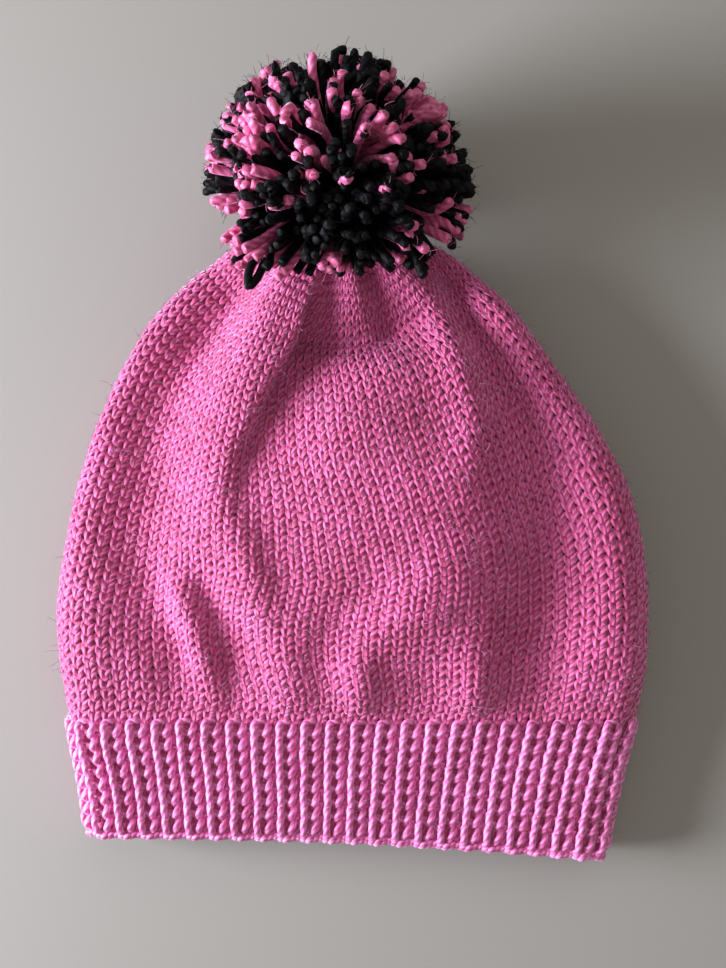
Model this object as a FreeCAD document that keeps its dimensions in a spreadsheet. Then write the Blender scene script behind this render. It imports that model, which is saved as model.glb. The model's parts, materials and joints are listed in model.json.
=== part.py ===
import FreeCAD, Part
import os
import math
import Sketcher

# Hand-knitted beanie with a pom-pom, lying flat on its back. Millimetres.
# +Z is up from the table, +Y runs from the mouth to the pom-pom, +X is to the right.
# The origin is on the table, under the middle of the whole length.

doc = FreeCAD.newDocument("beanie")
sheet = doc.addObject("Spreadsheet::Sheet", "Sizes")
sheet_row = 0


def size(alias, value, unit_note):
    """Put one named value in the spreadsheet."""
    global sheet_row
    sheet_row += 1
    sheet.set("A%d" % sheet_row, alias)
    sheet.set("B%d" % sheet_row, repr(value))
    sheet.set("C%d" % sheet_row, unit_note)
    sheet.setAlias("B%d" % sheet_row, alias)
    return value


# Fabric and yarn
size("knit_wall", 3.0, "mm, thickness of the stockinette")
size("rib_wall", 3.6, "mm, thickness of the rib")
size("edge_wall", 3.0, "mm, thickness of the cast-on chain")
size("yarn_radius", 1.2, "mm")

# Stations of the flattened tube: place along Y, middle in X, half width, height, gap to the table.
# The tube starts 0.15 mm too low and is trimmed flat where it lies on the table.
STATIONS = {
    "mouth": (-143.5, -3.0, 98.0, 24.0, -0.15),
    "hem": (-141.0, -3.0, 98.3, 24.0, -0.15),
    "band": (-96.5, 0.0, 105.0, 27.0, -0.15),
    "bulge": (-85.0, 0.0, 110.5, 32.0, -0.15),
    "belly": (-63.0, 0.0, 112.0, 36.0, -0.15),
    "waist": (-22.0, 0.5, 107.5, 40.0, -0.15),
    "chest": (0.0, -1.0, 101.0, 42.0, -0.15),
    "shoulder": (22.5, -4.0, 89.5, 43.0, -0.15),
    "neck": (39.5, -6.5, 79.5, 44.0, -0.15),
    "collar": (55.0, -6.5, 66.5, 44.0, -0.15),
    "dome": (68.0, -6.0, 51.0, 42.0, 1.0),
}
FIELDS = ("along", "middle", "half", "height", "lift")
for station_name, station_values in STATIONS.items():
    for field_name, field_value in zip(FIELDS, station_values):
        size(station_name + "_" + field_name, field_value, "mm")

size("trim_width", 400.0, "mm, box that trims the underside")
size("trim_depth", 5.0, "mm")

# Knot of the pom-pom's tails inside the crown: the pom-pom moves about it
pivot_x = size("pivot_x", -5.5, "mm")
pivot_y = size("pivot_y", 74.0, "mm")
pivot_z = size("pivot_z", 28.5, "mm")
size("knot_radius", 3.5, "mm")

# Pom-pom
ball_x = size("ball_x", -4.5, "mm, middle of the pom-pom")
ball_y = size("ball_y", 96.0, "mm")
ball_z = size("ball_z", 46.0, "mm")
size("ball_radius", 47.5, "mm, to the tips of the strands")
size("core_radius", 10.6, "mm, room round the tie")
size("tie_radius", 4.5, "mm, wrap round the waist of the pom-pom")
size("tie_knot_radius", 2.2, "mm")
size("tuft_gap", 1.0, "degrees between neighbouring tufts")
TUFT_COUNT = 12

# Tails, from the pivot along the line to the middle of the pom-pom
rise = ball_z - pivot_z
run = ball_y - pivot_y
slope = size("slope", math.degrees(math.atan2(rise, run)), "degrees above the table")
reach = size("reach", math.hypot(rise, run), "mm, pivot to the middle of the pom-pom")
size("tail_gap", 0.3, "mm, free ends of the tails to the knots")

# Drawn-together end of the crown, square to the tails
size("tip_half", 15.0, "mm")
size("tip_height", 25.0, "mm")
size("tip_reach", 9.5, "mm, pivot to the outside of the end")
size("tip_inside_half", 10.0, "mm")
size("tip_inside_height", 18.0, "mm")
size("tip_inside_reach", 5.5, "mm, pivot to the inside of the end")
size("hole_half", 8.0, "mm, hole in the gather")
size("hole_height", 15.4, "mm")
size("hole_reach", 12.0, "mm, end of the cut for the hole")
size("ring_radius", 9.7, "mm, gather yarn drawn tight")
size("ring_gap", 0.1, "mm, gather yarn to the crown's end")

# Room for the crown under the pom-pom, seen along X
size("room_y", 92.0, "mm, pom-pom's lower side")
size("room_low_z", 46.0, "mm, where the overhang starts")
size("room_far_y", 20.0, "mm")
size("room_high_z", 78.7, "mm, overhang's line at room_far_y")
size("room_bottom_z", -20.0, "mm")
size("room_end_y", 170.0, "mm")
size("room_width", 160.0, "mm")

# Loop of black yarn that was never cut, hanging over the crown
size("loop_radius", 5.0, "mm")
size("loop_yarn_radius", 1.5, "mm")
size("loop_x", -35.0, "mm")
size("loop_y", 66.0, "mm")
size("loop_z", 64.0, "mm")
size("loop_turn", 45.0, "degrees about Z")

# Fastening-off knot of the gather yarn, inside the crown beside the tails
size("fasten_x", 9.5, "mm from the pivot")
size("fasten_y", -3.0, "mm from the pivot")
size("fasten_z", -6.0, "mm from the pivot")
size("fasten_radius", 2.4, "mm")
doc.recompute()

SLOPE_COS = "cos(Sizes.slope * 1 deg)"
SLOPE_SIN = "sin(Sizes.slope * 1 deg)"
UP = FreeCAD.Vector(0, 0, 1)
ACROSS = FreeCAD.Vector(1, 0, 0)


def plane_of(body, role):
    """Origin plane of a body, by its role."""
    for feature in body.Origin.OriginFeatures:
        if feature.Role == role:
            return feature
    raise ValueError(role)


def bind(sketch, kind, items, value, text):
    """Add a dimension and bind it to the spreadsheet."""
    number = sketch.addConstraint(Sketcher.Constraint(kind, *items, value))
    sketch.setExpression("Constraints[%d]" % number, text)


def stadium(body, name, half, height, middle, centre):
    """Flattened ring outline; each size is a value and its expression."""
    sketch = body.newObject("Sketcher::SketchObject", name)
    sketch.AttachmentSupport = [(plane_of(body, "XZ_Plane"), "")]
    sketch.MapMode = "FlatFace"
    radius = height[0] / 2
    flat = half[0] - radius
    right = FreeCAD.Vector(middle[0] + flat, centre[0], 0)
    left = FreeCAD.Vector(middle[0] - flat, centre[0], 0)
    lift = FreeCAD.Vector(0, radius, 0)
    quarter = math.pi / 2
    sketch.addGeometry(Part.ArcOfCircle(Part.Circle(right, UP, radius), -quarter, quarter))
    sketch.addGeometry(Part.ArcOfCircle(Part.Circle(left, UP, radius), quarter, 3 * quarter))
    sketch.addGeometry(Part.LineSegment(right + lift, left + lift))
    sketch.addGeometry(Part.LineSegment(left - lift, right - lift))
    for first, second in ((0, 2), (2, 1), (1, 3), (3, 0)):
        sketch.addConstraint(Sketcher.Constraint("Tangent", first, 2, second, 1))
    sketch.addConstraint(Sketcher.Constraint("Horizontal", 2))
    sketch.addConstraint(Sketcher.Constraint("Equal", 0, 1))
    flat_text = "((%s) - (%s) / 2)" % (half[1], height[1])
    bind(sketch, "Radius", (0,), radius, "(%s) / 2" % height[1])
    bind(sketch, "DistanceX", (-1, 1, 0, 3), right.x, "%s + %s" % (middle[1], flat_text))
    bind(sketch, "DistanceX", (-1, 1, 1, 3), left.x, "%s - %s" % (middle[1], flat_text))
    bind(sketch, "DistanceY", (-1, 1, 0, 3), centre[0], centre[1])
    return sketch


def station_outline(body, name, station, wall, wall_text):
    """Outline of the tube at a station, set in by the wall."""
    along, middle, half, height, lift = STATIONS[station]
    prefix = "Sizes." + station
    sketch = stadium(
        body,
        name,
        (half - wall, "%s_half - %s" % (prefix, wall_text)),
        (height - 2 * wall, "%s_height - 2 * %s" % (prefix, wall_text)),
        (middle, prefix + "_middle"),
        (lift + height / 2, "%s_lift + %s_height / 2" % (prefix, prefix)),
    )
    sketch.setExpression("AttachmentOffset.Base.z", "-%s_along" % prefix)
    return sketch


def tip_outline(body, name, prefix):
    """Outline square to the tails, at the crown's end."""
    half = float(sheet.get("%s_half" % prefix))
    height = float(sheet.get("%s_height" % prefix))
    sketch = stadium(
        body,
        name,
        (half, "Sizes.%s_half" % prefix),
        (height, "Sizes.%s_height" % prefix),
        (0.0, "0"),
        (0.0, "0"),
    )
    sketch.AttachmentOffset = FreeCAD.Placement(FreeCAD.Vector(0, 0, 0), FreeCAD.Rotation(ACROSS, slope))
    sketch.setExpression("AttachmentOffset.Rotation.Angle", "Sizes.slope * 1 deg")
    sketch.setExpression("AttachmentOffset.Base.x", "Sizes.pivot_x")
    up_text = "Sizes.pivot_z + Sizes.%s_reach * %s" % (prefix, SLOPE_SIN)
    along_text = "Sizes.pivot_y + Sizes.%s_reach * %s" % (prefix, SLOPE_COS)
    sketch.setExpression("AttachmentOffset.Base.y", up_text)
    sketch.setExpression("AttachmentOffset.Base.z", "-(%s)" % along_text)
    return sketch


def loft(body, kind, name, sketches):
    """Ruled loft, so the side on the table stays flat."""
    feature = body.newObject("PartDesign::" + kind, name)
    feature.Profile = sketches[0]
    feature.Sections = sketches[1:]
    feature.Ruled = True
    doc.recompute()


def tube(label, stations, wall_alias, outer_tips=(), inner_tips=()):
    """Open flattened tube through stations, with optional sections at the crown's end."""
    body = doc.addObject("PartDesign::Body", "Body_" + label)
    body.Label = label
    wall = float(sheet.get(wall_alias))
    wall_text = "Sizes." + wall_alias
    outer = []
    inner = []
    for station in stations:
        outer.append(station_outline(body, "%s_outer_%s" % (label, station), station, 0.0, "0"))
        inner.append(station_outline(body, "%s_inner_%s" % (label, station), station, wall, wall_text))
    for prefix in outer_tips:
        outer.append(tip_outline(body, "%s_outer_%s" % (label, prefix), prefix))
    for prefix in inner_tips:
        inner.append(tip_outline(body, "%s_inner_%s" % (label, prefix), prefix))
    doc.recompute()
    loft(body, "AdditiveLoft", label + "_skin", outer)
    loft(body, "SubtractiveLoft", label + "_inside", inner)
    trim = body.newObject("PartDesign::SubtractiveBox", label + "_trim")
    trim.setExpression("Length", "Sizes.trim_width")
    trim.setExpression("Width", "Sizes.trim_width")
    trim.setExpression("Height", "Sizes.trim_depth")
    for axis_name in "xy":
        trim.setExpression("Placement.Base." + axis_name, "-Sizes.trim_width / 2")
    trim.setExpression("Placement.Base.z", "-Sizes.trim_depth")
    doc.recompute()
    return body


# Knitted zones of the hat
body_stations = ["band", "bulge", "belly", "waist", "chest", "shoulder", "neck"]
nodes = [
    tube("cast_on_edge", ["mouth", "hem"], "edge_wall"),
    tube("ribbed_brim", ["hem", "band"], "rib_wall"),
    tube("knit_body", body_stations, "knit_wall"),
    tube("gathered_crown", ["neck", "collar", "dome"], "knit_wall", ["tip"], ["tip_inside", "hole"]),
]


def primitive(kind, label, sizes):
    """Part primitive with its sizes bound to expressions."""
    item = doc.addObject("Part::" + kind, label)
    item.Label = label
    for name, text in sizes.items():
        item.setExpression(name, text)
    return item


def place_on_tails(item, reach_text, shift_x="0"):
    """Put a primitive on the line of the tails, its own Z along that line."""
    item.Placement = FreeCAD.Placement(FreeCAD.Vector(0, 0, 0), FreeCAD.Rotation(ACROSS, slope - 90))
    item.setExpression("Placement.Rotation.Angle", "(90 - Sizes.slope) * 1 deg")
    item.setExpression("Placement.Rotation.Axis.x", "-1")
    item.setExpression("Placement.Base.x", "Sizes.pivot_x + %s" % shift_x)
    item.setExpression("Placement.Base.y", "Sizes.pivot_y + (%s) * %s" % (reach_text, SLOPE_COS))
    item.setExpression("Placement.Base.z", "Sizes.pivot_z + (%s) * %s" % (reach_text, SLOPE_SIN))


# Gather yarn, drawn tight against the crown's end, and its fastening-off knot inside
gather = primitive("Torus", "gather_yarn", {"Radius1": "Sizes.ring_radius", "Radius2": "Sizes.yarn_radius"})
place_on_tails(gather, "Sizes.tip_reach + Sizes.yarn_radius + Sizes.ring_gap")
nodes.append(gather)
fasten = primitive("Sphere", "gather_knot", {"Radius": "Sizes.fasten_radius"})
fasten.setExpression("Placement.Base.x", "Sizes.pivot_x + Sizes.fasten_x")
fasten.setExpression("Placement.Base.y", "Sizes.pivot_y + Sizes.fasten_y")
fasten.setExpression("Placement.Base.z", "Sizes.pivot_z + Sizes.fasten_z")
nodes.append(fasten)

# Knot of the tails inside the crown, and the two tails
knot = primitive("Sphere", "inside_knot", {"Radius": "Sizes.knot_radius"})
place_on_tails(knot, "0")
nodes.append(knot)
tail_start = "Sizes.knot_radius + Sizes.tail_gap"
tie_knot_reach = "Sizes.reach - Sizes.tie_radius - Sizes.yarn_radius - Sizes.tie_knot_radius"
tail_length = "%s - Sizes.tie_knot_radius - Sizes.tail_gap - (%s)" % (tie_knot_reach, tail_start)
for label, side in (("left_tail", "-"), ("right_tail", "")):
    tail = primitive("Cylinder", label, {"Radius": "Sizes.yarn_radius", "Height": tail_length})
    place_on_tails(tail, tail_start, "%s(Sizes.yarn_radius + 0.05)" % side)
    nodes.append(tail)

# Wrap round the waist of the pom-pom, and its knot
tie = primitive("Torus", "tie_yarn", {"Radius1": "Sizes.tie_radius", "Radius2": "Sizes.yarn_radius"})
tie.Placement = FreeCAD.Placement(FreeCAD.Vector(0, 0, 0), FreeCAD.Rotation(FreeCAD.Vector(0, 1, 0), 90))
for axis_name in "xyz":
    tie.setExpression("Placement.Base." + axis_name, "Sizes.ball_" + axis_name)
nodes.append(tie)
tie_knot = primitive("Sphere", "tie_knot", {"Radius": "Sizes.tie_knot_radius"})
place_on_tails(tie_knot, tie_knot_reach, "1")
nodes.append(tie_knot)

# Room that the tufts keep clear: the tie in the middle, the crown and the table below
core = primitive("Sphere", "core_room", {"Radius": "Sizes.core_radius"})
for axis_name in "xyz":
    core.setExpression("Placement.Base." + axis_name, "Sizes.ball_" + axis_name)
profile = doc.addObject("Sketcher::SketchObject", "room_profile")
profile.Placement = FreeCAD.Placement(
    FreeCAD.Vector(0, 0, 0), FreeCAD.Rotation(FreeCAD.Vector(1, 1, 1), 120)
)
corner_names = [
    ("room_y", "room_low_z"),
    ("room_far_y", "room_high_z"),
    ("room_far_y", "room_bottom_z"),
    ("room_end_y", "room_bottom_z"),
    ("room_end_y", None),
    ("room_y", None),
]
corners = []
for name_y, name_z in corner_names:
    height = float(sheet.get(name_z)) if name_z else 0.0
    corners.append(FreeCAD.Vector(float(sheet.get(name_y)), height, 0))
corner_total = len(corners)
for index in range(corner_total):
    profile.addGeometry(Part.LineSegment(corners[index], corners[(index + 1) % corner_total]))
for index in range(corner_total):
    following = (index + 1) % corner_total
    profile.addConstraint(Sketcher.Constraint("Coincident", index, 2, following, 1))
for index, (name_y, name_z) in enumerate(corner_names):
    bind(profile, "DistanceX", (-1, 1, index, 1), corners[index].x, "Sizes." + name_y)
    if name_z:
        bind(profile, "DistanceY", (-1, 1, index, 1), corners[index].y, "Sizes." + name_z)
    else:
        profile.addConstraint(Sketcher.Constraint("PointOnObject", index, 1, -1))
room = doc.addObject("Part::Extrusion", "crown_room")
room.Base = profile
room.DirMode = "Normal"
room.Solid = True
room.Symmetric = True
room.setExpression("LengthFwd", "Sizes.room_width")
keep_clear = doc.addObject("Part::MultiFuse", "keep_clear")
keep_clear.Shapes = [core, room]
doc.recompute()

# Cut strands of the pom-pom, in sectors about Y, pink and black in turn
for index in range(TUFT_COUNT):
    colour = "pink" if index % 2 == 0 else "black"
    label = "%s_tuft_%d" % (colour, index // 2 + 1)
    sector = primitive("Sphere", label + "_sector", {"Radius": "Sizes.ball_radius"})
    sector.setExpression("Angle3", "(360 / %d - Sizes.tuft_gap) * 1 deg" % TUFT_COUNT)
    turn = FreeCAD.Rotation(UP, index * 360 / TUFT_COUNT)
    lay = FreeCAD.Rotation(ACROSS, -90)
    sector.Placement = FreeCAD.Placement(FreeCAD.Vector(0, 0, 0), lay.multiply(turn))
    for axis_name in "xyz":
        sector.setExpression("Placement.Base." + axis_name, "Sizes.ball_" + axis_name)
    tuft = doc.addObject("Part::Cut", label)
    tuft.Label = label
    tuft.Base = sector
    tuft.Tool = keep_clear
    nodes.append(tuft)

# Loop that was never cut: the half of it that shows outside the ball
loop_sizes = {"Radius1": "Sizes.loop_radius", "Radius2": "Sizes.loop_yarn_radius"}
loop_ring = primitive("Torus", "loop_ring", loop_sizes)
loop_ring.Placement = FreeCAD.Placement(FreeCAD.Vector(0, 0, 0), FreeCAD.Rotation(UP, 45))
loop_ring.setExpression("Placement.Rotation.Angle", "Sizes.loop_turn * 1 deg")
for axis_name in "xyz":
    loop_ring.setExpression("Placement.Base." + axis_name, "Sizes.loop_" + axis_name)
ball = primitive("Sphere", "whole_ball", {"Radius": "Sizes.ball_radius"})
for axis_name in "xyz":
    ball.setExpression("Placement.Base." + axis_name, "Sizes.ball_" + axis_name)
loop_cut = doc.addObject("Part::Cut", "uncut_black_loop")
loop_cut.Label = "uncut_black_loop"
loop_cut.Base = loop_ring
loop_cut.Tool = ball
nodes.append(loop_cut)
doc.recompute()

# Every object must be sound before anything is written
for item in doc.Objects:
    if "Invalid" in item.State or "Error" in item.State:
        raise RuntimeError("bad object: " + item.Name)
for node in nodes:
    if node.Shape.isNull() or not node.Shape.isValid() or not node.Shape.Solids:
        raise RuntimeError("bad shape: " + node.Label)

os.makedirs("parts", exist_ok=True)
for node in nodes:
    node.Shape.exportStep("parts/%s.step" % node.Label)
    print(node.Label, len(node.Shape.Solids), round(node.Shape.Volume), node.Shape.BoundBox)
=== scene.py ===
import json
import math

import bpy
import numpy as np
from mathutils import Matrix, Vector


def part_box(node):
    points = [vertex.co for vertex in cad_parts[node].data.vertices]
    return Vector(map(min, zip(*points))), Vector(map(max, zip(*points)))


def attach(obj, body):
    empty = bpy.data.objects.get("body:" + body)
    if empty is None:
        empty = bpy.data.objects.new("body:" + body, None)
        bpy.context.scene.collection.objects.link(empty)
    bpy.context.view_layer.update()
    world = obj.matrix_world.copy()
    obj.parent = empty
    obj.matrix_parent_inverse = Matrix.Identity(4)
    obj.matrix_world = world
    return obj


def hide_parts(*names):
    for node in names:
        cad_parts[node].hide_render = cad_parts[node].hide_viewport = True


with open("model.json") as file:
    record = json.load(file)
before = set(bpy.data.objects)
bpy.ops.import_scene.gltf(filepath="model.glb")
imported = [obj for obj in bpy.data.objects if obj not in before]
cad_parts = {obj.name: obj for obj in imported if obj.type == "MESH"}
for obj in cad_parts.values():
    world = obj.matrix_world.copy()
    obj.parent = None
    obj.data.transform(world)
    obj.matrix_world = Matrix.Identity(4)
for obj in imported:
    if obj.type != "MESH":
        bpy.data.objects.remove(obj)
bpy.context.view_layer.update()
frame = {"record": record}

# Lengths are millimetres in the CAD frame: x across the hat, y from the mouth to the pom-pom, z up from
# the table. They become metres where an object is made.
MM = 1000.0


# ---------------------------------------------------------------- values from the frame
def low_high(node):
    """Lowest and highest corner of a CAD node."""
    low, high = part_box(node)
    return MM * np.array(low), MM * np.array(high)


def middle(node):
    """Centre of a CAD node's box."""
    low, high = low_high(node)
    return 0.5 * (low + high)


JOINTS = {joint["name"]: joint for joint in frame["record"]["behaviour"]["joints"]}
PIVOT = MM * np.array(JOINTS["pompom_twist"]["pos_m"])
TAIL_DIR = np.array(JOINTS["pompom_twist"]["axis"])
BALL = middle("tie_yarn")
RING = middle("gather_yarn")
TIP = PIVOT + 9.5 * TAIL_DIR                      # middle of the last round of knitting

# ---------------------------------------------------------------- sizes of the knitting
WALES = 96                                        # stitches in a round
HALF = WALES // 2
BRIM_ROWS = 8
BODY_ROWS = 52
LAST = BRIM_ROWS + BODY_ROWS
CLOSING = LAST - 9                                # from this row on, the crown draws in to the gather
CLOTH = 2.3                                       # thickness of the knitted cloth
ROW_HEIGHTS = (5.8, 4.1)                          # brim and body
GROUND = (4.6, 3.4)                               # lowest place of a stitch's middle, brim and body
BRIM_END = -99.0                                  # y at which the brim ends

# Outline of the hat seen from above, mouth to crown. The first BRIM_STEPS steps are the brim, then it
# bulges over the brim and tapers to the crown.
BRIM_STEPS = 3
LEFT = np.array((
    (-102.5, -142.0), (-103.5, -126.0), (-106.5, -114.0), (-109.3, -100.0), (-109.0, -91.0),
    (-111.5, -80.0), (-112.5, -64.0), (-112.0, -50.0), (-109.3, -34.0), (-105.0, -11.5),
    (-98.0, 11.5), (-87.5, 34.5), (-81.0, 46.0), (-72.5, 57.5), (-60.0, 69.0),
    (-50.0, 76.0), (-38.0, 82.0), (-26.0, 85.5), (-15.0, 85.5)))
RIGHT = np.array((
    (97.5, -151.5), (101.5, -126.0), (104.5, -114.0), (108.5, -100.0), (109.5, -91.0),
    (111.0, -80.0), (111.5, -64.0), (111.0, -46.0), (109.8, -34.0), (104.6, -11.5),
    (92.5, 11.5), (76.0, 34.5), (68.0, 46.0), (60.0, 57.5), (46.5, 69.0),
    (38.0, 76.0), (27.0, 82.0), (14.0, 85.5), (4.0, 85.5)))


# ---------------------------------------------------------------- small curves
def ramp(x, low, high):
    """Smooth step from 0 at low to 1 at high."""
    t = np.clip((x - low) / (high - low), 0.0, 1.0)
    return t * t * (3.0 - 2.0 * t)


def bump(x, centre, width):
    """Smooth hump of height 1."""
    return np.exp(-(((x - centre) / width) ** 2))


def along(y, places, values):
    """Value at y of a line through places, which rise."""
    return np.interp(y, places, values)


def evenly(line, count):
    """Points at even distances along a line: count steps."""
    step = np.concatenate(([0.0], np.cumsum(np.linalg.norm(np.diff(line, axis=0), axis=1))))
    want = np.linspace(0.0, step[-1], count + 1)
    return np.stack([np.interp(want, step, line[:, k]) for k in range(line.shape[1])], axis=1)


def outline_rows(points):
    """Place of every row on an outline: even steps over the brim, then even steps over the body."""
    brim = evenly(points[: BRIM_STEPS + 1], BRIM_ROWS)
    body = evenly(points[BRIM_STEPS:], BODY_ROWS)
    line = np.concatenate((brim, body[1:]))
    for _ in range(3):
        line[1:-1] = 0.25 * line[:-2] + 0.5 * line[1:-1] + 0.25 * line[2:]
    return line


# ---------------------------------------------------------------- folds of the upper layer
# Each function gives a height above the plain upper surface. Where a fold winds over the hat, its x and
# its size follow lines through a few places in y.
RIDGE_Y = (-22, -6, 5, 18, 33, 48, 62, 80)


def left_slope(x, y):
    """Slope up from the left to the crest of the long ridge, eased again near the hat's side."""
    crest = along(y, (-97, -88, -74, -55, -40, -30, -11, 7, 26, 44, 59, 70, 80),
                  (-48, -50, -54, -60, -57, -50, -46, -44.5, -39, -33, -29, -24, -18))
    width = along(y, (-97, -74, -55, -40, -30, 26, 44, 59, 80), (8, 10, 13, 21, 31, 32, 24, 17, 13))
    depth = along(y, (-97, -80, -50, -10, 20, 45, 66, 80), (4.0, 7.5, 11.5, 16.0, 19.0, 21.0, 18.0, 10.0))
    foot = crest - width
    eased = 0.45 * ramp(-x, 1.0 - foot, 30.0 - foot)
    return -depth * (1.0 - ramp(x, foot, crest)) * (1.0 - eased)


def ridge_drop(x, y):
    """Step down on the right of the long ridge, fading out over the panel."""
    edge = along(y, RIDGE_Y, (-46, -44.5, -41, -35, -27, -18, -10, -4))
    fall = along(y, (-30, -16, 0, 20, 40, 60, 80), (0.0, 2.5, 6.0, 7.5, 10.0, 13.0, 9.0))
    return -fall * ramp(x, edge - 2.0, edge + 3.0) * (1.0 - 0.7 * ramp(x, edge + 8.0, edge + 40.0))


def fork(x, y):
    """Lower end of the left slope: a hollow, and the short arm on its right."""
    side = along(y, (-95, -77, -50, -35), (-44, -46, -55, -58))
    width = along(y, (-96, -62, -45), (32, 22, 11))
    depth = along(y, (-96, -72, -46, -32), (4.0, 7.5, 7.5, 0.0))
    hollow = depth * ramp(x, side - 10.0, side - 1.0) * (1.0 - ramp(x, side, side + width))
    arm_x = along(y, (-60, -20), (-32, -44))
    arm = along(y, (-62, -48, -30, -14), (0.0, 3.5, 4.0, 0.0)) * bump(x, arm_x, 6.0)
    return arm - hollow


def dome(x, y):
    """Broad middle: its left side faces the light, its right side falls away."""
    h = 6.0 * bump(x, 22.0, 46.0) * bump(y, -28.0, 48.0)
    h += 3.2 * bump(x - 0.6 * (y + 50.0), 29.0, 19.0) * bump(y, -52.0, 20.0)
    h -= 2.6 * bump(x - 0.7 * (y + 70.0), -10.0, 10.0) * bump(y, -58.0, 20.0)
    h += 3.5 * bump(y, 12.0, 14.0) * bump(x, -2.0, 24.0)
    return h


def crown(x, y):
    """Hollow under the pom-pom, and in it a pleat that dips between two that rise."""
    h = -14.0 * ramp(y, 32.0, 52.0) * bump(x, 11.0, 30.0)
    dip_x = along(y, (40, 50, 70), (12.5, 12.5, 7.0))
    left_x = along(y, (46, 70), (2.0, -2.0))
    right_x = along(y, (40, 70), (23.0, 14.0))
    h -= along(y, (38, 52, 70), (0.0, 5.5, 9.0)) * bump(x, dip_x, 4.0)
    h += along(y, (46, 56, 70), (0.0, 1.6, 3.0)) * (bump(x, left_x, 4.0) + bump(x, right_x, 4.0))
    return h


def right_side(x, y):
    """Ridge and long valley on the right, inside the rolled outer band."""
    ridge_x = along(y, (-10, 10, 20, 35, 63, 80), (44, 46.5, 47, 42, 30, 22)) - 3.0
    ridge = along(y, (-20, 5, 25, 60), (0.0, 2.5, 4.0, 4.5)) * bump(x, ridge_x, 6.0)
    valley_x = along(y, (-95, -60, -20, 5, 30, 63, 80), (66, 71, 74, 71, 56, 38.5, 29))
    width = along(y, (-90, -40, 0, 25, 60), (13.0, 18.0, 18.0, 13.0, 6.5))
    depth = along(y, (-97, -60, -8, 12, 40, 63), (3.0, 8.0, 9.5, 9.5, 9.5, 10.0))
    return ridge - depth * bump(x, valley_x, width)


def brim_ripples(x, y):
    """Short ripples where the body bulges over the brim."""
    near = ramp(-y, 58.0, 82.0) * (1.0 - ramp(-y, 94.0, 104.0))
    h = 3.0 * bump(x, -26.0, 5.0) + 3.6 * bump(x, 2.0, 5.0) + 3.6 * bump(x, 46.0, 5.5)
    h -= 2.6 * bump(x, 24.0, 8.0) + 1.6 * bump(x, -12.0, 5.0)
    h += 0.5 * np.sin(0.31 * x + 0.6)
    return near * h


def folds(x, y):
    """Height of all the folds of the upper layer."""
    left = left_slope(x, y) + ridge_drop(x, y) + fork(x, y)
    return left + dome(x, y) + crown(x, y) + right_side(x, y) + brim_ripples(x, y)


def lean(x, y):
    """Sideways shift of the upper layer: the long ridge hangs over the panel on its right."""
    edge = along(y, RIDGE_Y, (-46, -44.5, -41, -35, -28, -19, -10, -4))
    much = along(y, (-25, -5, 10, 40, 60, 80), (0.0, 1.0, 3.2, 4.2, 4.2, 2.0))
    return much * (bump(x, edge - 2.0, 4.0) - 1.1 * bump(x, edge + 3.5, 4.5))


def under_folds(x, y):
    """Height of the folds of the lower layer, which the table presses flat towards the mouth."""
    much = ramp(y, -10.0, 60.0) * bump(x, -5.0, 60.0)
    return much * (2.4 + 2.4 * np.sin(0.19 * x + 0.4 + 0.02 * y))


# ---------------------------------------------------------------- place of every stitch
def thickness(y):
    """Height of the plain upper surface above the table, at the middle of the cloth."""
    return along(y, (-146, -120, -98, -90, -80, -60, -20, 10, 40, 60, 72, 90),
                 (17.5, 19.5, 21.5, 26.5, 30.5, 34.0, 36.5, 38.5, 40.0, 42.0, 42.0, 38.0))


def middle_rows():
    """Y of every row along the middle of the upper layer, and of the lower."""
    brim = np.linspace(-145.0, BRIM_END, BRIM_ROWS + 1)
    upper = [BRIM_END]
    while len(upper) <= BODY_ROWS:
        step = along(upper[-1], (-97, -80, -60, -40, -25, -5, 20, 66),
                     (3.4, 3.3, 3.1, 3.0, 3.0, 3.4, 3.6, 3.7))
        upper.append(upper[-1] + step)
    upper = np.array(upper)
    upper = BRIM_END + (upper - BRIM_END) * (74.0 - BRIM_END) / (upper[-1] - BRIM_END)
    lower = np.linspace(BRIM_END, 80.0, BODY_ROWS + 1)
    return np.concatenate((brim, upper[1:])), np.concatenate((brim, lower[1:]))


def layer(row, left, right, mid_y, under):
    """Dense line of one row across one layer, left to right."""
    t = -np.cos(np.linspace(0.0, np.pi, 241))
    xl, yl = left[row]
    xr, yr = right[row]
    x = 0.5 * (xl + xr) + 0.5 * (xr - xl) * t
    ends = np.where(t < 0, yl, yr)
    y = mid_y + (ends - mid_y) * np.abs(t) ** 2.0
    if row <= BRIM_ROWS:
        y = yl + (yr - yl) * (0.5 + 0.5 * t) ** 2.4
    high = thickness(y)
    side = 0.5 * (high + CLOTH)
    rim = 0.5 * (high - CLOTH)
    away = np.minimum(x - xl, xr - x)
    rounding = np.sqrt(np.clip(1.0 - np.clip(1.0 - away / rim, 0.0, 1.0) ** 2, 0.0, 1.0))
    if under:
        z = side - rim * rounding + under_folds(x, y) * rounding
    else:
        body = ramp(y, BRIM_END, -90.0)
        z = side + rim * rounding + folds(x, y) * rounding * body
        x = x + lean(x, y) * body
    return np.stack((x, y, z), axis=1)


def close_crown(grid):
    """Draw the last rows in to a pleated ring at the crown's end."""
    side = np.array((1.0, 0.0, 0.0))
    up = np.cross(side, TAIL_DIR)
    angle = np.pi * (1.0 - np.arange(WALES) / HALF)
    radius = 10.5 * (1.0 + 0.22 * np.sin(angle * 11.0 + 0.5))
    ring = TIP + radius[:, None] * (np.cos(angle)[:, None] * side + np.sin(angle)[:, None] * up)
    before = grid[CLOSING].copy()
    for row in range(CLOSING, LAST + 1):
        w = (row - CLOSING) / (LAST - CLOSING)
        mix = w ** 1.4
        swell = 5.0 * np.sin(np.pi * w) * TAIL_DIR
        grid[row] = (1.0 - mix) * before + mix * ring + swell


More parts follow.
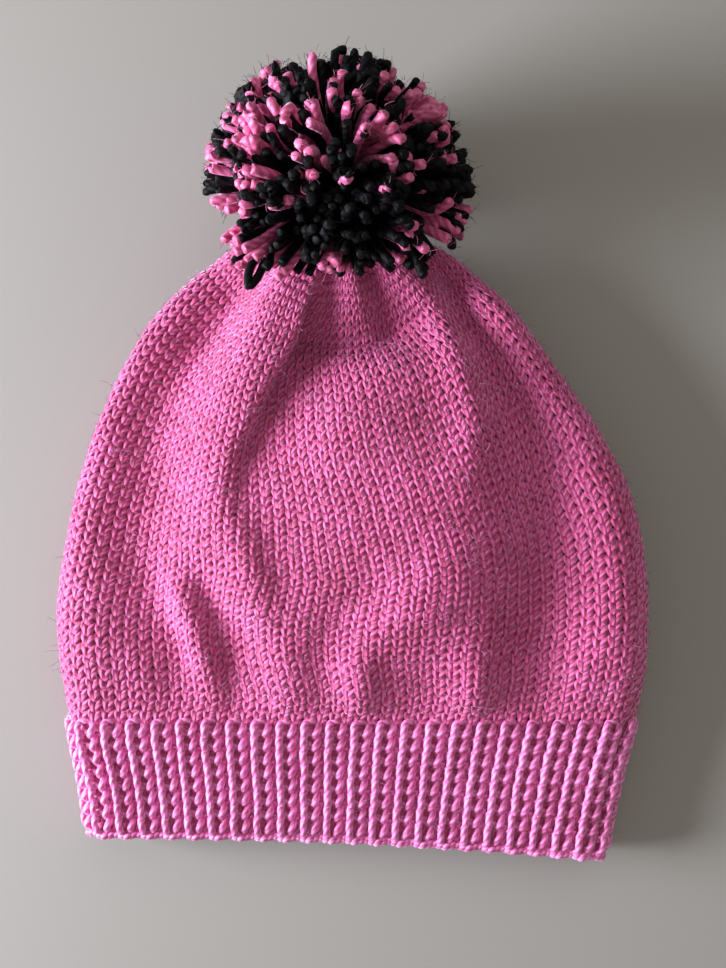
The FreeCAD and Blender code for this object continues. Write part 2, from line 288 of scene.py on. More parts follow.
def first_guess():
    """Designed place of every stitch: rows x wales x 3."""
    left = outline_rows(LEFT)
    right = outline_rows(RIGHT)
    upper_y, lower_y = middle_rows()
    grid = np.zeros((LAST + 1, WALES, 3))
    for row in range(LAST + 1):
        upper = evenly(layer(row, left, right, upper_y[row], False), HALF)
        lower = evenly(layer(row, left, right, lower_y[row], True), HALF)
        grid[row, :HALF] = upper[:HALF]
        grid[row, HALF:] = lower[::-1][:HALF]
    close_crown(grid)
    return grid


def pull(a, b, rest):
    """Half of the move that brings stitches a and b towards their rest distance: cloth hardly stretches
    but gathers easily."""
    d = b - a
    size = np.linalg.norm(d, axis=-1, keepdims=True) + 1e-9
    gap = size - rest
    stiff = np.where(gap > 0, 0.7, 0.1)
    return 0.5 * stiff * gap * d / size


def relax(grid, turns):
    """Even out the stitches, held softly to their designed places and above the table."""
    place = grid.copy()
    wide = np.linalg.norm(np.roll(grid, -1, axis=1) - grid, axis=-1).mean(axis=1)[:, None, None]
    tall = np.where(np.arange(LAST) < BRIM_ROWS, *ROW_HEIGHTS)[:, None, None]
    ground = np.where(np.arange(LAST + 1) <= BRIM_ROWS, *GROUND)[:, None]
    hold = np.interp(np.arange(LAST + 1), (0, BRIM_ROWS, LAST - 12, LAST - 6, LAST - 1, LAST),
                     (0.30, 0.28, 0.20, 0.06, 0.1, 1.0))[:, None, None]
    for _ in range(turns):
        for first in (0, 1):
            a = place[:, first::2]
            b = np.roll(place, -1, axis=1)[:, first::2]
            move = pull(a, b, wide)
            place[:, first::2] += move
            place[:, (np.arange(first, WALES, 2) + 1) % WALES] -= move
        for first in (0, 1):
            b = place[first + 1 :: 2]
            a = place[first:-1:2][: len(b)]
            move = pull(a, b, tall[first::2][: len(b)])
            a += move
            b -= move
        place += 0.04 * (0.5 * (np.roll(place, 1, axis=1) + np.roll(place, -1, axis=1)) - place)
        place[1:-1] += 0.05 * (0.5 * (place[:-2] + place[2:]) - place[1:-1])
        place += hold * (grid - place)
        place[..., 2] = np.maximum(place[..., 2], ground)
    keep_outline(place, grid)
    return place


def keep_outline(place, grid):
    """Stretch each row sideways, so that the outline seen from above stays as designed."""
    for row in range(CLOSING):
        x = place[row, :, 0]
        low, high = x.min(), x.max()
        want_low, want_high = grid[row, :, 0].min(), grid[row, :, 0].max()
        place[row, :, 0] = want_low + (x - low) * (want_high - want_low) / (high - low)


# ---------------------------------------------------------------- camera and light
def look(obj, target):
    """Turn a lamp to face a point."""
    way = Vector(target) / MM - obj.location
    obj.rotation_euler = way.to_track_quat("-Z", "Y").to_euler()


def lamp(name, place, target, size, power, colour):
    """Soft round lamp; its size is in metres, its power in watts."""
    data = bpy.data.lights.new(name, "AREA")
    data.shape = "DISK"
    data.size = size
    data.energy = power
    data.color = colour
    obj = bpy.data.objects.new(name, data)
    bpy.context.scene.collection.objects.link(obj)
    obj.location = [v / MM for v in place]
    look(obj, target)


# the camera looks straight down
camera = bpy.data.objects.new("camera", bpy.data.cameras.new("camera"))
bpy.context.scene.collection.objects.link(camera)
camera.data.lens = 41.5
camera.data.sensor_width = 36.0
camera.location = (0.0038, -0.009, 0.445)
bpy.context.scene.camera = camera

lamp("key", (-1000.0, -80.0, 315.0), (-20.0, -20.0, 20.0), 0.55, 38.0, (0.92, 0.95, 1.05))
lamp("fill", (300.0, 700.0, 1000.0), (0.0, 0.0, 20.0), 1.2, 2.5, (0.95, 0.97, 1.0))
world = bpy.data.worlds.new("studio")
bpy.context.scene.world = world
world.use_nodes = True
world.node_tree.nodes["Background"].inputs["Color"].default_value = (1.0, 0.93, 0.83, 1.0)
world.node_tree.nodes["Background"].inputs["Strength"].default_value = 0.38
bpy.context.scene.view_settings.view_transform = "Standard"


# ---------------------------------------------------------------- cloth as a smooth surface
def spline_weights(t):
    """Cubic B-spline weights."""
    first = (1 - t) ** 3
    second = 3 * t**3 - 6 * t**2 + 4
    third = -3 * t**3 + 3 * t**2 + 3 * t + 1
    return np.stack((first, second, third, t**3)) / 6.0


class Cloth:
    """Smooth surface through the stitch grid: u counts wales, v counts rows."""

    def __init__(self, grid):
        rows = grid
        for _ in range(2):
            rows = np.concatenate((2 * rows[:1] - rows[1:2], rows, 2 * rows[-1:] - rows[-2:-1]))
        self.place = rows
        du = np.roll(rows, -1, axis=1) - np.roll(rows, 1, axis=1)
        dv = np.gradient(rows, axis=0)
        self.normal = unit(np.cross(du, dv))

    def at(self, u, v):
        """Points and normals at u, v arrays of one shape."""
        v = np.clip(v, -1.0, LAST + 1.0) + 2.0
        iu, iv = np.floor(u).astype(int), np.floor(v).astype(int)
        wu, wv = spline_weights(u - iu), spline_weights(v - iv)
        point = np.zeros(u.shape + (3,))
        normal = np.zeros(u.shape + (3,))
        top = self.place.shape[0] - 1
        for a in range(4):
            row = np.clip(iv + a - 1, 0, top)
            for b in range(4):
                wale = (iu + b - 1) % WALES
                w = (wu[b] * wv[a])[..., None]
                point += w * self.place[row, wale]
                normal += w * self.normal[row, wale]
        return point, unit(normal)


def unit(v):
    """Vectors of length 1."""
    return v / (np.linalg.norm(v, axis=-1, keepdims=True) + 1e-12)


def smooth_pattern(points, step, count, laps):
    """Closed smooth line through a stitch's points, repeated: count samples for each repeat, and every
    repeat moved on by step in x."""
    points = np.asarray(points, float)
    n = len(points)
    t = np.arange(count * laps) * (n / count)
    i = np.floor(t).astype(int)
    f = (t - i)[:, None]

    def get(k):
        out = points[k % n].copy()
        out[:, 0] += (k // n) * step
        return out

    a, b, c, d = get(i - 1), get(i), get(i + 1), get(i + 2)
    squared = 2 * a - 5 * b + 4 * c - d
    cubed = 3 * b - a - 3 * c + d
    return 0.5 * (2 * b + (c - a) * f + squared * f**2 + cubed * f**3)


# ---------------------------------------------------------------- yarn
def tube_points(centre, normal, radius, sides, closed, flat):
    """Points round the centre lines: strands x rings x sides x 3."""
    if closed:
        tangent = unit(np.roll(centre, -1, axis=1) - np.roll(centre, 1, axis=1))
    else:
        tangent = unit(np.gradient(centre, axis=1))
    side = unit(np.cross(tangent, normal))
    up = np.cross(side, tangent)
    angle = (np.arange(sides) * (2 * np.pi / sides))[:, None]
    out = np.cos(angle) * side[:, :, None] + flat * np.sin(angle) * up[:, :, None]
    return centre[:, :, None] + radius[:, :, None, None] * out


def tube_faces(strands, rings, sides, closed):
    """Faces between neighbouring rings, as point numbers: faces x 4."""
    strand = np.arange(strands)[:, None, None] * rings * sides
    ring = np.arange(rings if closed else rings - 1)[None, :, None]
    side = np.arange(sides)[None, None, :]
    ring_2 = (ring + 1) % rings
    side_2 = (side + 1) % sides
    corners = ((ring, side), (ring_2, side), (ring_2, side_2), (ring, side_2))
    return np.stack([strand + r * sides + s for r, s in corners], axis=-1).reshape(-1, 4)


def tube_uv(centre, sides, closed, ply):
    """Texture places of those faces: u goes once round the yarn, v counts turns of the plies along it."""
    strands, rings = centre.shape[:2]
    gaps = np.linalg.norm(np.roll(centre, -1, axis=1) - centre, axis=2)
    length = np.concatenate((np.zeros((strands, 1)), np.cumsum(gaps, axis=1)), axis=1)
    if closed:
        whole = length[:, -1:]
        v = length / whole * np.round(whole / ply)
        count = rings
    else:
        v = length / ply
        count = rings - 1
    side = np.arange(sides)
    v0, v1 = v[:, :count, None], v[:, 1 : count + 1, None]
    u0, u1, v0, v1 = np.broadcast_arrays(side / sides, (side + 1) / sides, v0, v1)
    corners = ((u0, v0), (u0, v1), (u1, v1), (u1, v0))
    return np.stack([np.stack(corner, axis=-1) for corner in corners], axis=3).reshape(-1, 2)


def end_faces(strands, rings, sides):
    """Flat faces that close both ends of every open yarn: faces x sides."""
    first = np.arange(strands)[:, None] * rings * sides
    side = np.arange(sides)[None]
    return np.concatenate((first + side, first + (rings - 1) * sides + side[:, ::-1]))


def new_object(name, mesh, material):
    """Object of a finished mesh, smooth and of one material."""
    mesh.polygons.foreach_set("use_smooth", np.ones(len(mesh.polygons), bool))
    mesh.materials.append(material)
    obj = bpy.data.objects.new(name, mesh)
    bpy.context.scene.collection.objects.link(obj)
    return obj


def yarn(name, centre, normal, radius, sides, closed, material, ply=3.1, flat=1.0):
    """Object of round yarns. centre and normal are strands x rings x 3, radius is strands x rings."""
    strands, rings = centre.shape[:2]
    points = tube_points(centre, normal, radius, sides, closed, flat).reshape(-1, 3)
    quads = tube_faces(strands, rings, sides, closed)
    loops = quads.reshape(-1)
    counts = np.full(len(quads), 4)
    uv = tube_uv(centre, sides, closed, ply)
    if not closed:
        ends = end_faces(strands, rings, sides)
        loops = np.concatenate((loops, ends.reshape(-1)))
        counts = np.concatenate((counts, np.full(len(ends), sides)))
        uv = np.concatenate((uv, np.tile((0.5, 0.0), (ends.size, 1))))
    mesh = bpy.data.meshes.new(name)
    mesh.vertices.add(len(points))
    mesh.vertices.foreach_set("co", (points / MM).astype(np.float32).ravel())
    mesh.loops.add(len(loops))
    mesh.loops.foreach_set("vertex_index", loops.astype(np.int32))
    mesh.polygons.add(len(counts))
    mesh.polygons.foreach_set("loop_start", (np.cumsum(counts) - counts).astype(np.int32))
    mesh.uv_layers.new(name="yarn")
    mesh.uv_layers[0].data.foreach_set("uv", uv.astype(np.float32).ravel())
    mesh.update(calc_edges=True)
    return new_object(name, mesh, material)


# ---------------------------------------------------------------- materials
def new_material(name):
    """A material, its node tree and its surface node."""
    material = bpy.data.materials.new(name)
    material.use_nodes = True
    tree = material.node_tree
    return material, tree, tree.nodes["Principled BSDF"]


def math_node(tree, op, *values):
    """Output of a math node; each value is a number or another node's output."""
    node = tree.nodes.new("ShaderNodeMath")
    node.operation = op
    for k, value in enumerate(values):
        if isinstance(value, (int, float)):
            node.inputs[k].default_value = value
        else:
            tree.links.new(value, node.inputs[k])
    return node.outputs[0]


def noise(tree, place, scale, detail):
    """Value of a noise texture at a place."""
    node = tree.nodes.new("ShaderNodeTexNoise")
    node.inputs["Scale"].default_value = scale
    node.inputs["Detail"].default_value = detail
    tree.links.new(place, node.inputs["Vector"])
    return node.outputs["Fac"]


def colour_by_tone(tree, tone, stops):
    """Colour that runs through stops of (tone, colour), darkest first."""
    node = tree.nodes.new("ShaderNodeValToRGB")
    marks = node.color_ramp.elements
    for k, (position, colour) in ((0, stops[0]), (1, stops[-1])):
        marks[k].position = position
        marks[k].color = (*colour, 1)
    for position, colour in stops[1:-1]:
        marks.new(position).color = (*colour, 1)
    tree.links.new(tone, node.inputs[0])
    return node.outputs[0]


def emboss(tree, height, strength, distance, normal_input):
    """Raise the surface by a height from 0 to 1, distance mm at most."""
    node = tree.nodes.new("ShaderNodeBump")
    node.inputs["Strength"].default_value = strength
    node.inputs["Distance"].default_value = distance / MM
    tree.links.new(height, node.inputs["Height"])
    tree.links.new(node.outputs[0], normal_input)


def yarn_material(name, dark, mid, light, sheen, sheen_tint, rough, specular, relief, drift):
    """Acrylic yarn of three twisted plies: fibres run along the plies, and the dye varies by drift. The base
    colour also holds painted light: painted shade in the grooves between the plies, towards dark, and a
    painted highlight on their crests, towards light.
    """
    material, tree, surface = new_material(name)
    uv = tree.nodes.new("ShaderNodeUVMap")
    uv.uv_map = "yarn"
    split = tree.nodes.new("ShaderNodeSeparateXYZ")
    tree.links.new(uv.outputs[0], split.inputs[0])
    round_it, along_it = split.outputs[0], split.outputs[1]
    phase = math_node(tree, "ADD", math_node(tree, "MULTIPLY", round_it, 3.0), along_it)
    wave = math_node(tree, "SINE", math_node(tree, "MULTIPLY", phase, 2 * math.pi))
    ply = math_node(tree, "MULTIPLY_ADD", wave, 0.5, 0.5)
    stretch = tree.nodes.new("ShaderNodeCombineXYZ")
    tree.links.new(math_node(tree, "MULTIPLY", phase, 4.0), stretch.inputs[0])
    tree.links.new(math_node(tree, "MULTIPLY", along_it, 0.35), stretch.inputs[1])
    fibres = math_node(tree, "MULTIPLY", noise(tree, stretch.outputs[0], 2.2, 3.0), 0.5)
    place = tree.nodes.new("ShaderNodeTexCoord")
    dye = math_node(tree, "SUBTRACT", noise(tree, place.outputs["Object"], 55.0, 3.0), 0.5)
    # painted shade and painted highlight: the ply wave darkens the base colour in the grooves between the
    # plies and lightens it on their crests
    tone = math_node(tree, "MULTIPLY_ADD", ply, 0.42, fibres)
    tone = math_node(tree, "ADD", tone, math_node(tree, "MULTIPLY", dye, drift))
    # dark holds painted shade of the ply grooves and light a painted highlight of the ply crests, on top of
    # the yarn's own colour and its random tone
    colour = colour_by_tone(tree, tone, ((0.12, dark), (0.45, mid), (0.85, light)))
    tree.links.new(colour, surface.inputs["Base Color"])
    emboss(tree, math_node(tree, "MULTIPLY_ADD", ply, 0.75, fibres), 0.9, relief, surface.inputs["Normal"])
    surface.inputs["Roughness"].default_value = rough
    surface.inputs["Specular IOR Level"].default_value = specular
    surface.inputs["Sheen Weight"].default_value = sheen
    surface.inputs["Sheen Roughness"].default_value = 0.35
    surface.inputs["Sheen Tint"].default_value = (*sheen_tint, 1)
    return material


def fuzz_material(name, low, high):
    """Fine matt fuzz between the stitches."""
    material, tree, surface = new_material(name)
    place = tree.nodes.new("ShaderNodeTexCoord")
    grain = noise(tree, place.outputs["Object"], 900.0, 4.0)
    tree.links.new(colour_by_tone(tree, grain, ((0.3, low), (0.75, high))), surface.inputs["Base Color"])
    emboss(tree, grain, 1.0, 0.4, surface.inputs["Normal"])
    surface.inputs["Roughness"].default_value = 0.9
    return material


def floor_material():
    """Pale table top."""
    material, _, surface = new_material("pale_table")
    surface.inputs["Base Color"].default_value = (0.30, 0.287, 0.266, 1)
    surface.inputs["Roughness"].default_value = 0.75
    surface.inputs["Specular IOR Level"].default_value = 0.25
    return material


# each yarn's dark stop carries painted shade of the ply grooves, and its light stop a painted highlight on
# the ply crests
PINK = yarn_material(
    "pink_acrylic", dark=(0.27, 0.011, 0.07), mid=(0.49, 0.046, 0.185), light=(0.80, 0.18, 0.48),
    sheen=0.8, sheen_tint=(0.9, 0.72, 1.0), rough=0.65, specular=0.6, relief=0.36, drift=0.4)
# the rib's yarn is the body's pink painted lighter: painted light that offsets the shade in the rib's
# columns; the cast-on chain and the loose fibres on the hat use it too
PINK_RIB_PAINTED_LIGHT = yarn_material(
    "pink_acrylic_rib_painted_light", dark=(0.42, 0.035, 0.15), mid=(0.76, 0.145, 0.43), light=(0.94, 0.31, 0.72),
    sheen=0.8, sheen_tint=(0.8, 0.75, 1.0), rough=0.55, specular=0.9, relief=0.3, drift=0.5)
PINK_CUT = yarn_material(
    "pink_cut_ends", dark=(0.40, 0.035, 0.12), mid=(0.60, 0.10, 0.25), light=(0.76, 0.19, 0.40),
    sheen=0.4, sheen_tint=(0.8, 0.75, 1.0), rough=0.5, specular=0.6, relief=0.16, drift=0.8)
BLACK = yarn_material(
    "black_acrylic", dark=(0.0012, 0.0012, 0.0015), mid=(0.002, 0.002, 0.0026), light=(0.006, 0.006, 0.009),
    sheen=0.0, sheen_tint=(0.7, 0.8, 1.0), rough=0.6, specular=0.12, relief=0.34, drift=0.4)
FUZZ = fuzz_material("pink_fuzz", (0.26, 0.018, 0.07), (0.50, 0.07, 0.20))
# the rib's fuzz is the body's pink fuzz painted lighter: painted light that offsets the shade between the rib
# columns
FUZZ_RIB_PAINTED_LIGHT = fuzz_material("pink_fuzz_rib_painted_light", (0.42, 0.04, 0.15), (0.70, 0.13, 0.34))

# ---------------------------------------------------------------- hat
# One stitch of each pattern: x in wales, y in rows, and millimetres out of the cloth
STOCKINETTE = (
    (0.00, -0.66, -1.3), (0.24, -0.64, -1.2), (0.45, -0.47, -0.5), (0.42, -0.12, 0.45), (0.28, 0.30, 0.70),
    (0.12, 0.66, 0.20), (0.17, 0.92, -0.8), (0.50, 0.84, -1.5), (0.83, 0.92, -0.8), (0.88, 0.66, 0.20),
    (0.72, 0.30, 0.70), (0.58, -0.12, 0.45), (0.55, -0.47, -0.5), (0.76, -0.64, -1.2))
RIB = (
    (0.00, -0.80, -1.0), (0.12, -0.62, -0.2), (0.24, -0.28, 1.5), (0.18, 0.22, 2.1), (0.20, 0.60, 1.5),
    (0.36, 0.82, 0.3), (0.70, 0.90, 0.1), (1.12, 0.70, -1.0), (1.30, 0.36, 0.4), (1.20, 0.06, 1.6),
    (1.04, -0.22, 0.8), (1.02, -0.52, -1.0), (1.36, -0.80, -1.2), (1.56, -0.30, -2.0), (1.52, 0.30, -2.0),
    (1.68, 0.85, -0.9), (1.84, 0.30, -2.0), (1.80, -0.30, -2.0))
KNIT_SIDES = 8                                    # sides of a knitted yarn's tube
RIB_MIDDLE = 0.68                                 # wale at which a raised rib is highest
FULL_WALE = 4.35                                  # width of a wale at which the yarn has its full radius
rng = np.random.default_rng(7)


def uneven_stitches(grid):
    """Move every stitch a little; the cast-on edge and the last rows stay."""
    grid[1 : LAST - 2] += rng.normal(0.0, 1.0, (LAST - 3, WALES, 3)) * (0.19, 0.19, 0.18)
    return grid


def rounds(name, pattern, step, count, rows, radius, material, flat, lift=0.0):
    """Rounds of knitting: one closed yarn for each row, of a stitch that is step wales wide."""
    laps = WALES // step
    wave = smooth_pattern(pattern, step, count, laps)
    t = np.arange(len(wave)) / count
    centre, normal, wide = [], [], []
    for row in rows:
        wobble = np.repeat(rng.normal(0.0, 1.0, (laps, 4)), count, axis=0)
        u = wave[:, 0] + 0.025 * wobble[:, 0] * np.sin(2 * np.pi * t)
        v = row + 0.5 + wave[:, 1] * (1.0 + 0.03 * wobble[:, 1] * np.sin(np.pi * (t % 1.0)))
        point, out = CLOTH_SURFACE.at(u, v)
        centre.append(point + out * (wave[:, 2:3] + lift))
        normal.append(out)
        wide.append(np.linalg.norm(CLOTH_SURFACE.at(u + 0.5, v)[0] - CLOTH_SURFACE.at(u - 0.5, v)[0], axis=1))
    thick = radius * np.clip(np.array(wide) / FULL_WALE, 0.66, 1.08)
    return yarn(name, np.array(centre), np.array(normal), thick, KNIT_SIDES, True, material, flat=flat)


def backing(name, first, last, material, dip, rib_dip):
    """Fuzz between the stitches: a closed band inside the thickness of the yarn."""
    u, v = np.meshgrid(np.arange(0.0, WALES, 0.25), np.arange(first, last + 0.01, 0.5))
    point, out = CLOTH_SURFACE.at(u, v)
    depth = dip + rib_dip * ramp(0.5 - 0.5 * np.cos(np.pi * (u - RIB_MIDDLE)), 0.3, 0.9)
    point = point - out * depth[..., None]
    rows, columns = u.shape
    start = np.arange(rows - 1)[:, None] * columns
    a = start + np.arange(columns)
    b = start + (np.arange(columns) + 1) % columns
    faces = np.stack((a, b, b + columns, a + columns), axis=-1).reshape(-1, 4)
    mesh = bpy.data.meshes.new(name)
    mesh.from_pydata((point.reshape(-1, 3) / MM).tolist(), [], faces.tolist())
    mesh.update()
    return new_object(name, mesh, material)


def cast_on(name):
    """Two strands twisted round each other along the edge of the mouth."""
    count = 10
    t = np.arange(WALES * count) / count
    wave = 0.5 + 0.5 * np.cos(np.pi * (t - RIB_MIDDLE))
    centre, normal = [], []
    for phase in (0.0, np.pi):
        angle = 2 * np.pi * t + phase
        point, out = CLOTH_SURFACE.at(t, -0.20 - 0.10 * np.cos(angle) - 0.06 * wave)
        centre.append(point + out * (0.85 * np.sin(angle) + 0.3 - 1.1 * (1.0 - wave))[:, None])
        normal.append(out)
    size = np.full((2, len(t)), 1.25)
    return yarn(name, np.array(centre), np.array(normal), size, KNIT_SIDES, True, PINK_RIB_PAINTED_LIGHT)


CLOTH_SURFACE = Cloth(uneven_stitches(relax(first_guess(), 120)))
hat = []
for k, start in enumerate(range(BRIM_ROWS, LAST, 6)):
    rows = range(start, min(start + 7, LAST))
    hat.append(rounds(f"stockinette_{k + 1}", STOCKINETTE, 1, 18, rows, 1.21, PINK, 0.72))
for k in range(2):
    hat.append(rounds(f"rib_{k + 1}", RIB, 2, 45, range(4 * k, 4 * k + 4), 1.35, PINK_RIB_PAINTED_LIGHT, 0.85, 0.5))
hat.append(backing("knit_backing", BRIM_ROWS + 0.5, LAST, FUZZ, 0.55, 0.0))
hat.append(backing("rib_backing", -0.2, BRIM_ROWS + 0.5, FUZZ_RIB_PAINTED_LIGHT, -0.3, 1.6))
hat.append(cast_on("cast_on_chain"))
for piece in hat:
    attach(piece, "hat")
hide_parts("cast_on_edge")
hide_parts("ribbed_brim")
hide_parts("knit_body")
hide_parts("gathered_crown")


# ---------------------------------------------------------------- ties and tails
def square_to(direction):
    """Two unit vectors square to a direction that is not upright."""
    a = unit(np.cross(direction, np.array((0.0, 0.0, 1.0))))
    return a, np.cross(a, direction)


def ring_yarn(name, centre, direction, radius, thick, material, ripple=0.0, ripples=0):
    """One turn of yarn round an axis, rippled in and out."""
    a, b = square_to(direction)
    count = 96
    angle = np.arange(count) * 2 * np.pi / count
    out = np.cos(angle)[:, None] * a + np.sin(angle)[:, None] * b
    far = radius + ripple * np.sin(ripples * angle)
    wave = 0.35 * thick * np.sin(angle)
    line = centre + far[:, None] * out + wave[:, None] * direction
    return yarn(name, line[None], out[None], np.full((1, count), thick), 10, True, material)


def knot_yarn(name, node, thick, material):
    """Overhand knot pulled tight: a trefoil the size of its CAD node."""
    low, high = low_high(node)
    size = 0.5 * (high - low).min() - thick
    count = 90
    t = np.arange(count) * 2 * np.pi / count
    x = np.sin(t) + 2 * np.sin(2 * t)
    y = np.cos(t) - 2 * np.cos(2 * t)
    z = -1.3 * np.sin(3 * t)
    out = size * np.stack((x, y, z), axis=1) / 3.0
    line = middle(node) + out
    return yarn(name, line[None], unit(out + 1e-3)[None], np.full((1, count), thick), 8, True, material)


def tail_yarn(name, node, thick, material):
    """Straight length of yarn on the tails' line, gently waved."""
    low, high = low_high(node)
    reach = 0.5 * (high - low)[1] / TAIL_DIR[1] - 0.3
    a, b = square_to(TAIL_DIR)
    t = np.linspace(-1.0, 1.0, 15)
    line = middle(node) + (reach * t)[:, None] * TAIL_DIR + (0.15 * np.sin(4.0 * t))[:, None] * a
    normal = np.repeat(b[None], len(t), axis=0)
    size = thick * np.where(np.abs(t) > 0.99, 0.6, 1.0)
    return yarn(name, line[None], normal[None], size[None], 10, False, material)


def uncut_loop(name, node, thick, material):
    """Strand of the pom-pom that was not cut: it hangs out of the ball as a loop."""
    centre = middle(node)
    out = unit(centre - BALL)
    a, b = square_to(out)
    t = np.linspace(0.0, 1.0, 33)
    from_root = 21.0 * (1.0 - np.abs(2.0 * t - 1.0) ** 1.25)
    spread = 1.9 * np.sin(2 * np.pi * t) * (1.0 - 0.35 * np.cos(2 * np.pi * t))
    line = centre + (from_root - 16.0)[:, None] * out + spread[:, None] * a
    line[:, 0] += 0.010 * from_root**2
    line[:, 1] -= 0.008 * from_root**2
    normal = np.repeat(b[None], len(t), axis=0)
    return yarn(name, line[None], normal[None], np.full((1, len(t)), thick), 8, False, material)


def settle(piece, body, node):
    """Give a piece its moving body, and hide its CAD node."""
    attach(piece, body)
    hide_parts(node)


ACROSS = np.array((1.0, 0.0, 0.0))
settle(ring_yarn("gather_yarn_ring", RING, TAIL_DIR, 9.7, 1.2, PINK, 0.3, 11), "hat", "gather_yarn")
settle(knot_yarn("gather_yarn_knot", "gather_knot", 0.85, PINK), "hat", "gather_knot")
settle(knot_yarn("inside_yarn_knot", "inside_knot", 1.2, BLACK), "tail_knot", "inside_knot")
settle(tail_yarn("left_tail_yarn", "left_tail", 1.15, BLACK), "tails", "left_tail")
settle(tail_yarn("right_tail_yarn", "right_tail", 1.15, BLACK), "tails", "right_tail")
settle(ring_yarn("tie_yarn_winds", BALL, ACROSS, 4.5, 1.0, BLACK), "pompom", "tie_yarn")
settle(knot_yarn("tie_yarn_knot", "tie_knot", 0.8, BLACK), "pompom", "tie_knot")

# ---------------------------------------------------------------- pom-pom
BALL_RADIUS = 47.0
CORE = 10.5                                       # the strands start this far from the ball's centre
SHARES = (0.0, 0.2, 0.4, 0.57, 0.72, 0.84)        # rings of a strand, as shares of its length
FROM_END = (2.6, 1.1, 0.3, 0.0)                   # its last rings, in mm from its cut end
THICK = (0.8, 1.1, 1.35, 1.5, 1.6, 1.65, 1.68, 1.7, 1.62, 1.15)
LOW_END = 2.0                                     # height at which the strands below the ball level out
SHORTEST = 17.0
COLOURS = (("pink", True, PINK_CUT), ("black", False, BLACK))


def waves(points, count, low, high):
    """Smooth random field over directions: points x 3 in, points x 3 out, about -1 to 1."""
    way = unit(rng.normal(size=(count, 3))) * rng.uniform(low, high, (count, 1))
    shift = rng.uniform(0, 2 * np.pi, count)
    size = rng.normal(size=(count, 3)) / np.sqrt(count)
    return np.sin(points @ way.T + shift) @ size * 1.4


def pompom_strands(count):
    """Direction, length, bend and colour of every cut strand."""
    i = np.arange(count) + 0.5
    up = 1.0 - 2.0 * i / count
    turn = i * np.pi * (3.0 - np.sqrt(5.0))
    level = np.sqrt(1.0 - up**2)
    way = np.stack((level * np.cos(turn), level * np.sin(turn), up), axis=1)
    way = unit(way + 0.06 * rng.normal(size=way.shape))
    clump = waves(way, 14, 7.0, 13.0)
    loose = rng.normal(size=way.shape)
    bend = 4.4 * clump + 3.4 * loose
    bend -= (bend * way).sum(axis=1, keepdims=True) * way
    # seen from above the ball is not quite round: degrees from x, and mm longer or shorter
    compass = np.degrees(np.arctan2(way[:, 1], way[:, 0])) % 360.0
    longer = np.interp(compass, (0, 45, 75, 105, 135, 180, 215, 240, 265, 290, 330, 360),
                       (1.0, -3.0, -3.0, -1.0, 1.0, 1.0, 2.0, -9.0, -17.0, -15.0, 1.0, 1.0))
    length = BALL_RADIUS + np.clip(rng.normal(-2.0, 3.0, count), -11.0, 0.5)
    length += 1.2 * waves(way, 10, 5.0, 9.0)[:, 0] + longer * level**2
    # pink gathers on the left, black in the middle, below it and on the lower right
    tone = waves(way, 18, 9.0, 18.0)[:, 0] + 0.75 * rng.normal(size=count)
    x, y = way[:, 0], way[:, 1]
    tone += 0.7 * ramp(-x, 0.25, 0.8) - 0.75 * bump(x, 0.25, 0.55) * bump(y, -0.45, 0.45)
    tone -= 0.25 * ramp(x, 0.2, 0.8) * ramp(-y, 0.0, 0.6)
    return way, length, bend, tone > 0.52


def strand_lines(way, length, bend):
    """Centre lines of the strands: strands x rings x 3."""
    reach = CORE + (length[:, None] - CORE) * np.array(SHARES)
    reach = np.concatenate((reach, length[:, None] - np.array(FROM_END)), axis=1)
    s = ((reach - CORE) / (BALL_RADIUS - CORE))[..., None]
    wave = 0.35 * np.sin(2.6 * np.pi * s + 3.0 * bend[:, None, :1])
    line = BALL + reach[..., None] * way[:, None] + s**2 * bend[:, None]
    line += wave * np.roll(bend, 1, axis=1)[:, None] * s
    line[..., 2] -= 1.5 * s[..., 0] ** 2 * (1 - np.abs(way[:, None, 2]))
    # no strand leaves the ball, and those below it turn level above the table
    out = line - BALL
    far = np.linalg.norm(out, axis=-1, keepdims=True)
    line = BALL + out * np.minimum(1.0, (BALL_RADIUS + 0.3) / np.maximum(far, 1.0))
    over = line[..., 2] - LOW_END - 4.0
    line[..., 2] = np.where(over < 0.0, LOW_END + 4.0 * np.exp(over / 4.0), line[..., 2])
    return line


def clear_of_crown(point):
    """True where a strand may be: above the crown or beyond it, also when the pom-pom tips and swings."""
    x, y, z = np.moveaxis(point, -1, 0)
    aside = np.abs(x - PIVOT[0])
    above = z > BALL[2] - 3.0 + (BALL[1] - 4.0 - y) * 0.40 + 0.25 * np.maximum(aside - 24.0, 0.0)
    beyond = y > BALL[1] - 3.0 + 0.24 * np.maximum(aside - 15.0, 0.0)
    return above | beyond


def cut_back(way, length, bend):
    """Shorten the strands that would reach the crown."""
    for _ in range(14):
        clear = clear_of_crown(strand_lines(way, length, bend)).all(axis=1)
        length = np.where(clear, length, length - 2.5)
    return length


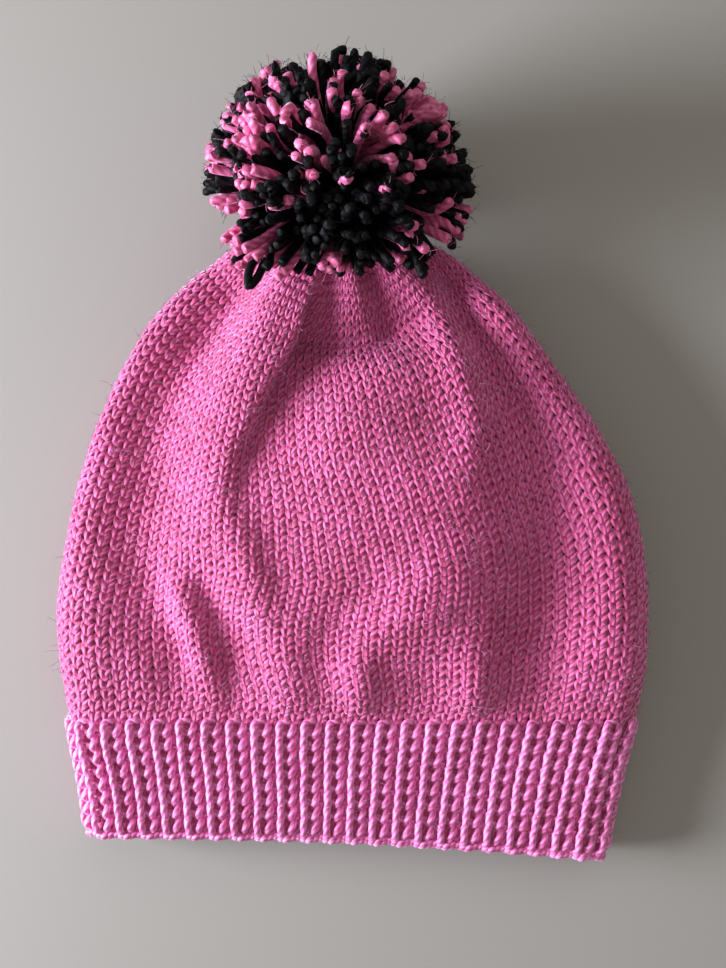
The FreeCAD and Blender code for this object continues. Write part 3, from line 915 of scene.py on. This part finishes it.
way, length, bend, pink = pompom_strands(1750)
length = cut_back(way, length, bend)
keep = length > SHORTEST
way, length, bend, pink = way[keep], length[keep], bend[keep], pink[keep]
line = strand_lines(way, length, bend)
thick = np.array(THICK) * rng.uniform(0.88, 1.12, (len(way), 1)) * np.where(pink, 1.04, 0.96)[:, None]
across = unit(np.cross(way, rng.normal(size=way.shape)))[:, None] + 0 * line
sector = (np.degrees(np.arctan2(-way[:, 2], way[:, 0])) % 360.0) // 60.0
for k in range(6):
    for shade, flag, material in COLOURS:
        pick = (sector == k) & (pink == flag)
        name = f"{shade}_strands_{k + 1}"
        strands = yarn(name, line[pick], across[pick], thick[pick], 8, False, material, ply=3.6)
        settle(strands, "pompom", f"{shade}_tuft_{k + 1}")


# ---------------------------------------------------------------- loose fibres
def stray(name, root, way, reach, material):
    """Short curved hairs, one from each root, kept above the table."""
    t = np.linspace(0.0, 1.0, 4)[None, :, None]
    curl = rng.normal(0.0, 0.8, way.shape)
    line = root[:, None] + reach[:, None, None] * (t * way[:, None] + t**2 * curl[:, None])
    line[..., 2] = np.maximum(line[..., 2], 0.3)
    normal = unit(np.cross(way, curl))[:, None] + 0 * line
    size = np.array((0.10, 0.09, 0.08, 0.06)) + 0 * line[..., 0]
    return yarn(name, line, normal, size, 3, False, material)


for shade, flag, material in COLOURS:
    pick = np.repeat(np.where(pink == flag)[0], 4)
    root = line[pick, -2] + rng.normal(0.0, 0.7, (len(pick), 3))
    out = unit(way[pick] + 0.8 * rng.normal(size=(len(pick), 3)))
    root[:, 2] = np.maximum(root[:, 2], 4.0)
    hairs = stray(f"{shade}_stray_fibres", root, out, rng.uniform(0.8, 2.2, len(pick)), material)
    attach(hairs, "pompom")

spot = (rng.uniform(0.0, WALES, 7000), rng.uniform(0.0, LAST - 4.0, 7000))
root, out = CLOTH_SURFACE.at(*spot)
upper = root[:, 2] > 9.0
root, out = root[upper], out[upper]
side = unit(np.cross(out, rng.normal(size=out.shape)))
reach = rng.uniform(1.0, 3.0, len(root))
# the loose fibres take the rib's pink, which is painted lighter as painted light
hairs = stray("hat_stray_fibres", root + 1.5 * out, unit(side + 0.35 * out), reach, PINK_RIB_PAINTED_LIGHT)
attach(hairs, "hat")

loop = uncut_loop("uncut_loop_yarn", "uncut_black_loop", 1.5, BLACK)
settle(loop, "pompom", "uncut_black_loop")

# ---------------------------------------------------------------- floor
bpy.ops.mesh.primitive_plane_add(size=4)
floor = bpy.context.object
floor.name = "floor"
floor.data.materials.append(floor_material())
